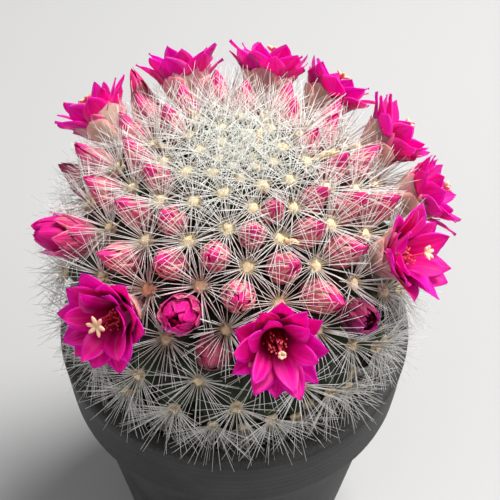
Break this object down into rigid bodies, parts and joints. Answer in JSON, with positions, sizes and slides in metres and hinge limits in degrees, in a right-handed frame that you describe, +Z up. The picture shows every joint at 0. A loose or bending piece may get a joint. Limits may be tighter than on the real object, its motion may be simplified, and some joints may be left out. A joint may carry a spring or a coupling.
{
  "type": "potted mammillaria cactus",
  "caption": "Small globular cactus in a plain dark clay pot, with white radial spines, a ring of magenta flowers and pink buds; stands on its flat base as a table plant.",
  "frame": {"origin": "middle of the pot's flat underside", "axes": "+Z up out of the pot; -Y is the front that the picture shows; +X is to the right of that front"},
  "size_m": [0.0637, 0.0638, 0.0912],
  "materials": {
    "pot_clay": "plain dark grey clay, matt, rubbed paler at the rim",
    "potting_soil": "dark peat with grit, rough and matt",
    "green_stem": "firm dark green skin, satin",
    "spine": "glassy white spines, slightly see-through at the tips",
    "wool": "short cream wool",
    "petal": "silky hot magenta, paler and pinkish outside",
    "bud": "rose pink with hot magenta tips and pale streaks, satin",
    "spent_flower": "dull magenta to brown pink, papery",
    "stamens": "reddish pink threads with small salmon heads, matt",
    "stigma": "pale peach cream, moist satin"
  },
  "bodies": {
    "root": {"bud_01": "bud", "bud_02": "bud", "bud_03": "bud", "bud_04": "bud", "bud_05": "bud", "bud_06": "bud", "bud_07": "bud", "bud_08": "bud", "bud_09": "bud", "bud_10": "bud", "bud_11": "bud", "bud_12": "bud", "bud_13": "bud", "bud_14": "bud", "bud_15": "bud", "bud_16": "bud", "bud_17": "bud", "bud_18": "bud", "bud_19": "bud", "bud_20": "bud", "bud_21": "bud", "bud_22": "bud", "bud_23": "bud", "bud_24": "bud", "bud_25": "bud", "bud_26": "bud", "bud_27": "bud", "bud_28": "bud", "bud_29": "bud", "bud_30": "bud", "bud_31": "bud", "bud_32": "bud", "flower_01": "petal", "flower_02": "petal", "flower_03": "petal", "flower_04": "petal", "flower_05": "petal", "flower_06": "petal", "flower_07": "petal", "flower_08": "petal", "flower_09": "petal", "opening_flower_01": "petal", "opening_flower_02": "petal", "opening_flower_03": "petal", "pistil_01": "stamens", "pistil_02": "stamens", "pistil_03": "stamens", "pistil_04": "stamens", "pistil_05": "stamens", "pistil_06": "stamens", "pistil_07": "stamens", "pistil_08": "stamens", "pistil_09": "stamens", "pot": "pot_clay", "soil": "potting_soil", "spent_flower_01": "spent_flower", "spent_flower_02": "spent_flower", "spent_flower_03": "spent_flower", "stem": "green_stem"}
  },
  "joints": []
}
